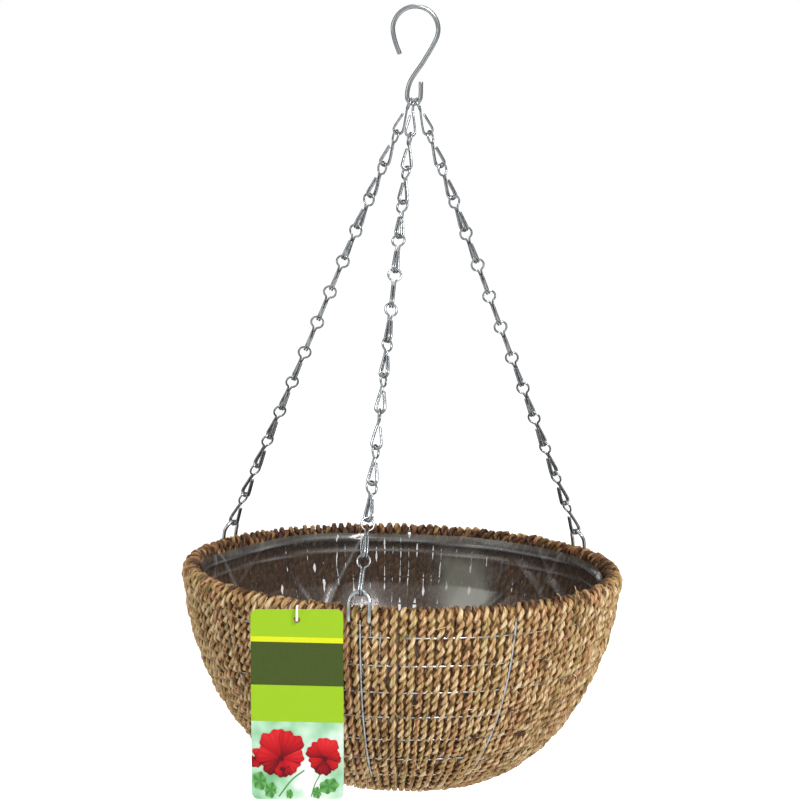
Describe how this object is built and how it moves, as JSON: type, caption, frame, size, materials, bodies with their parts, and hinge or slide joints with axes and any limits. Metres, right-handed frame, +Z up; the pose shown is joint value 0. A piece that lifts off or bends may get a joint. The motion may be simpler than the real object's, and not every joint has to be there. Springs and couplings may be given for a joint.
{
  "type": "hanging basket",
  "caption": "Bowl-shaped hanging plant basket of twisted grass rope on a wire frame, with a film liner, wire-link chains, an S-shaped hook and a blank hanging label.",
  "frame": {"origin": "the point inside the hook's crown that rests on the rail or nail it hangs on", "axes": "+Z up; the front, with the label and the front chain's clip, faces -Y; +X to the right seen from the front; the hook's wire lies in the XZ plane"},
  "size_m": [0.3501, 0.3568, 0.6055],
  "materials": {
    "hook_wire": "galvanised, dull",
    "chain_wire": "galvanised, dull",
    "clip_wire": "galvanised, dull",
    "frame_wire": "dull grey coating",
    "grass": "twisted natural grass rope",
    "film": "thin translucent film, semi-gloss",
    "card": "printed, satin",
    "tie": "satin"
  },
  "bodies": {
    "hook": {"hook": "hook_wire"},
    "basket": {"grass_weave": "grass", "liner": "film", "rim_wire": "frame_wire", "wire_cage": "frame_wire", "rim_clip_front": "clip_wire", "rim_clip_left": "clip_wire", "rim_clip_right": "clip_wire", "label_tie": "tie"},
    "label": {"label_card": "card"},
    "front_link_01": {"chain_front_link_01": "chain_wire"},
    "front_link_02": {"chain_front_link_02": "chain_wire"},
    "front_link_03": {"chain_front_link_03": "chain_wire"},
    "front_link_04": {"chain_front_link_04": "chain_wire"},
    "front_link_05": {"chain_front_link_05": "chain_wire"},
    "front_link_06": {"chain_front_link_06": "chain_wire"},
    "front_link_07": {"chain_front_link_07": "chain_wire"},
    "front_link_08": {"chain_front_link_08": "chain_wire"},
    "front_link_09": {"chain_front_link_09": "chain_wire"},
    "front_link_10": {"chain_front_link_10": "chain_wire"},
    "front_link_11": {"chain_front_link_11": "chain_wire"},
    "front_link_12": {"chain_front_link_12": "chain_wire"},
    "front_link_13": {"chain_front_link_13": "chain_wire"},
    "front_link_14": {"chain_front_link_14": "chain_wire"},
    "left_link_01": {"chain_left_link_01": "chain_wire"},
    "left_link_02": {"chain_left_link_02": "chain_wire"},
    "left_link_03": {"chain_left_link_03": "chain_wire"},
    "left_link_04": {"chain_left_link_04": "chain_wire"},
    "left_link_05": {"chain_left_link_05": "chain_wire"},
    "left_link_06": {"chain_left_link_06": "chain_wire"},
    "left_link_07": {"chain_left_link_07": "chain_wire"},
    "left_link_08": {"chain_left_link_08": "chain_wire"},
    "left_link_09": {"chain_left_link_09": "chain_wire"},
    "left_link_10": {"chain_left_link_10": "chain_wire"},
    "left_link_11": {"chain_left_link_11": "chain_wire"},
    "left_link_12": {"chain_left_link_12": "chain_wire"},
    "left_link_13": {"chain_left_link_13": "chain_wire"},
    "left_link_14": {"chain_left_link_14": "chain_wire"},
    "right_link_01": {"chain_right_link_01": "chain_wire"},
    "right_link_02": {"chain_right_link_02": "chain_wire"},
    "right_link_03": {"chain_right_link_03": "chain_wire"},
    "right_link_04": {"chain_right_link_04": "chain_wire"},
    "right_link_05": {"chain_right_link_05": "chain_wire"},
    "right_link_06": {"chain_right_link_06": "chain_wire"},
    "right_link_07": {"chain_right_link_07": "chain_wire"},
    "right_link_08": {"chain_right_link_08": "chain_wire"},
    "right_link_09": {"chain_right_link_09": "chain_wire"},
    "right_link_10": {"chain_right_link_10": "chain_wire"},
    "right_link_11": {"chain_right_link_11": "chain_wire"},
    "right_link_12": {"chain_right_link_12": "chain_wire"},
    "right_link_13": {"chain_right_link_13": "chain_wire"},
    "right_link_14": {"chain_right_link_14": "chain_wire"}
  },
  "joints": [
    {"name": "basket_swing", "type": "hinge", "parent": "hook", "child": "basket", "pos_m": [0, 0, -0.07265], "axis": [1, 0, 0], "range_deg": [-30, 30]},
    {"name": "label_swing", "type": "hinge", "parent": "basket", "child": "label", "pos_m": [-0.0766, -0.1765, -0.4454], "axis": [-1, 0, 0], "range_deg": [-12, 45]},
    {"name": "front_link_01_twist", "type": "hinge", "parent": "basket", "child": "front_link_01", "pos_m": [-0.00025, 0, -0.07309], "axis": [0.0776, 0.4346, 0.8973], "range_deg": [-2, 2]},
    {"name": "front_link_02_twist", "type": "hinge", "parent": "basket", "child": "front_link_02", "pos_m": [-0.00025, 0, -0.07309], "axis": [0.0776, 0.4346, 0.8973], "range_deg": [-7, 7]},
    {"name": "front_link_03_twist", "type": "hinge", "parent": "basket", "child": "front_link_03", "pos_m": [-0.00025, 0, -0.07309], "axis": [0.0776, 0.4346, 0.8973], "range_deg": [-7, 7]},
    {"name": "front_link_04_twist", "type": "hinge", "parent": "basket", "child": "front_link_04", "pos_m": [-0.00025, 0, -0.07309], "axis": [0.0776, 0.4346, 0.8973], "range_deg": [-7, 7]},
    {"name": "front_link_05_twist", "type": "hinge", "parent": "basket", "child": "front_link_05", "pos_m": [-0.00025, 0, -0.07309], "axis": [0.0776, 0.4346, 0.8973], "range_deg": [-7, 7]},
    {"name": "front_link_06_twist", "type": "hinge", "parent": "basket", "child": "front_link_06", "pos_m": [-0.00025, 0, -0.07309], "axis": [0.0776, 0.4346, 0.8973], "range_deg": [-7, 7]},
    {"name": "front_link_07_twist", "type": "hinge", "parent": "basket", "child": "front_link_07", "pos_m": [-0.00025, 0, -0.07309], "axis": [0.0776, 0.4346, 0.8973], "range_deg": [-7, 7]},
    {"name": "front_link_08_twist", "type": "hinge", "parent": "basket", "child": "front_link_08", "pos_m": [-0.00025, 0, -0.07309], "axis": [0.0776, 0.4346, 0.8973], "range_deg": [-7, 7]},
    {"name": "front_link_09_twist", "type": "hinge", "parent": "basket", "child": "front_link_09", "pos_m": [-0.00025, 0, -0.07309], "axis": [0.0776, 0.4346, 0.8973], "range_deg": [-7, 7]},
    {"name": "front_link_10_twist", "type": "hinge", "parent": "basket", "child": "front_link_10", "pos_m": [-0.00025, 0, -0.07309], "axis": [0.0776, 0.4346, 0.8973], "range_deg": [-7, 7]},
    {"name": "front_link_11_twist", "type": "hinge", "parent": "basket", "child": "front_link_11", "pos_m": [-0.00025, 0, -0.07309], "axis": [0.0776, 0.4346, 0.8973], "range_deg": [-7, 7]},
    {"name": "front_link_12_twist", "type": "hinge", "parent": "basket", "child": "front_link_12", "pos_m": [-0.00025, 0, -0.07309], "axis": [0.0776, 0.4346, 0.8973], "range_deg": [-7, 7]},
    {"name": "front_link_13_twist", "type": "hinge", "parent": "basket", "child": "front_link_13", "pos_m": [-0.00025, 0, -0.07309], "axis": [0.0776, 0.4346, 0.8973], "range_deg": [-7, 7]},
    {"name": "front_link_14_twist", "type": "hinge", "parent": "basket", "child": "front_link_14", "pos_m": [-0.00025, 0, -0.07309], "axis": [0.0776, 0.4346, 0.8973], "range_deg": [-7, 7]},
    {"name": "left_link_01_twist", "type": "hinge", "parent": "basket", "child": "left_link_01", "pos_m": [-0.00307, 0, -0.0721], "axis": [0.3514, -0.2572, 0.9002], "range_deg": [-2, 2]},
    {"name": "left_link_02_twist", "type": "hinge", "parent": "basket", "child": "left_link_02", "pos_m": [-0.00307, 0, -0.0721], "axis": [0.3514, -0.2572, 0.9002], "range_deg": [-7, 7]},
    {"name": "left_link_03_twist", "type": "hinge", "parent": "basket", "child": "left_link_03", "pos_m": [-0.00307, 0, -0.0721], "axis": [0.3514, -0.2572, 0.9002], "range_deg": [-7, 7]},
    {"name": "left_link_04_twist", "type": "hinge", "parent": "basket", "child": "left_link_04", "pos_m": [-0.00307, 0, -0.0721], "axis": [0.3514, -0.2572, 0.9002], "range_deg": [-7, 7]},
    {"name": "left_link_05_twist", "type": "hinge", "parent": "basket", "child": "left_link_05", "pos_m": [-0.00307, 0, -0.0721], "axis": [0.3514, -0.2572, 0.9002], "range_deg": [-7, 7]},
    {"name": "left_link_06_twist", "type": "hinge", "parent": "basket", "child": "left_link_06", "pos_m": [-0.00307, 0, -0.0721], "axis": [0.3514, -0.2572, 0.9002], "range_deg": [-7, 7]},
    {"name": "left_link_07_twist", "type": "hinge", "parent": "basket", "child": "left_link_07", "pos_m": [-0.00307, 0, -0.0721], "axis": [0.3514, -0.2572, 0.9002], "range_deg": [-7, 7]},
    {"name": "left_link_08_twist", "type": "hinge", "parent": "basket", "child": "left_link_08", "pos_m": [-0.00307, 0, -0.0721], "axis": [0.3514, -0.2572, 0.9002], "range_deg": [-7, 7]},
    {"name": "left_link_09_twist", "type": "hinge", "parent": "basket", "child": "left_link_09", "pos_m": [-0.00307, 0, -0.0721], "axis": [0.3514, -0.2572, 0.9002], "range_deg": [-7, 7]},
    {"name": "left_link_10_twist", "type": "hinge", "parent": "basket", "child": "left_link_10", "pos_m": [-0.00307, 0, -0.0721], "axis": [0.3514, -0.2572, 0.9002], "range_deg": [-7, 7]},
    {"name": "left_link_11_twist", "type": "hinge", "parent": "basket", "child": "left_link_11", "pos_m": [-0.00307, 0, -0.0721], "axis": [0.3514, -0.2572, 0.9002], "range_deg": [-7, 7]},
    {"name": "left_link_12_twist", "type": "hinge", "parent": "basket", "child": "left_link_12", "pos_m": [-0.00307, 0, -0.0721], "axis": [0.3514, -0.2572, 0.9002], "range_deg": [-7, 7]},
    {"name": "left_link_13_twist", "type": "hinge", "parent": "basket", "child": "left_link_13", "pos_m": [-0.00307, 0, -0.0721], "axis": [0.3514, -0.2572, 0.9002], "range_deg": [-7, 7]},
    {"name": "left_link_14_twist", "type": "hinge", "parent": "basket", "child": "left_link_14", "pos_m": [-0.00307, 0, -0.0721], "axis": [0.3514, -0.2572, 0.9002], "range_deg": [-7, 7]},
    {"name": "right_link_01_twist", "type": "hinge", "parent": "basket", "child": "right_link_01", "pos_m": [0.00309, 0, -0.07208], "axis": [-0.3575, -0.2483, 0.9003], "range_deg": [-2, 2]},
    {"name": "right_link_02_twist", "type": "hinge", "parent": "basket", "child": "right_link_02", "pos_m": [0.00309, 0, -0.07208], "axis": [-0.3575, -0.2483, 0.9003], "range_deg": [-7, 7]},
    {"name": "right_link_03_twist", "type": "hinge", "parent": "basket", "child": "right_link_03", "pos_m": [0.00309, 0, -0.07208], "axis": [-0.3575, -0.2483, 0.9003], "range_deg": [-7, 7]},
    {"name": "right_link_04_twist", "type": "hinge", "parent": "basket", "child": "right_link_04", "pos_m": [0.00309, 0, -0.07208], "axis": [-0.3575, -0.2483, 0.9003], "range_deg": [-7, 7]},
    {"name": "right_link_05_twist", "type": "hinge", "parent": "basket", "child": "right_link_05", "pos_m": [0.00309, 0, -0.07208], "axis": [-0.3575, -0.2483, 0.9003], "range_deg": [-7, 7]},
    {"name": "right_link_06_twist", "type": "hinge", "parent": "basket", "child": "right_link_06", "pos_m": [0.00309, 0, -0.07208], "axis": [-0.3575, -0.2483, 0.9003], "range_deg": [-7, 7]},
    {"name": "right_link_07_twist", "type": "hinge", "parent": "basket", "child": "right_link_07", "pos_m": [0.00309, 0, -0.07208], "axis": [-0.3575, -0.2483, 0.9003], "range_deg": [-7, 7]},
    {"name": "right_link_08_twist", "type": "hinge", "parent": "basket", "child": "right_link_08", "pos_m": [0.00309, 0, -0.07208], "axis": [-0.3575, -0.2483, 0.9003], "range_deg": [-7, 7]},
    {"name": "right_link_09_twist", "type": "hinge", "parent": "basket", "child": "right_link_09", "pos_m": [0.00309, 0, -0.07208], "axis": [-0.3575, -0.2483, 0.9003], "range_deg": [-7, 7]},
    {"name": "right_link_10_twist", "type": "hinge", "parent": "basket", "child": "right_link_10", "pos_m": [0.00309, 0, -0.07208], "axis": [-0.3575, -0.2483, 0.9003], "range_deg": [-7, 7]},
    {"name": "right_link_11_twist", "type": "hinge", "parent": "basket", "child": "right_link_11", "pos_m": [0.00309, 0, -0.07208], "axis": [-0.3575, -0.2483, 0.9003], "range_deg": [-7, 7]},
    {"name": "right_link_12_twist", "type": "hinge", "parent": "basket", "child": "right_link_12", "pos_m": [0.00309, 0, -0.07208], "axis": [-0.3575, -0.2483, 0.9003], "range_deg": [-7, 7]},
    {"name": "right_link_13_twist", "type": "hinge", "parent": "basket", "child": "right_link_13", "pos_m": [0.00309, 0, -0.07208], "axis": [-0.3575, -0.2483, 0.9003], "range_deg": [-7, 7]},
    {"name": "right_link_14_twist", "type": "hinge", "parent": "basket", "child": "right_link_14", "pos_m": [0.00309, 0, -0.07208], "axis": [-0.3575, -0.2483, 0.9003], "range_deg": [-7, 7]}
  ]
}
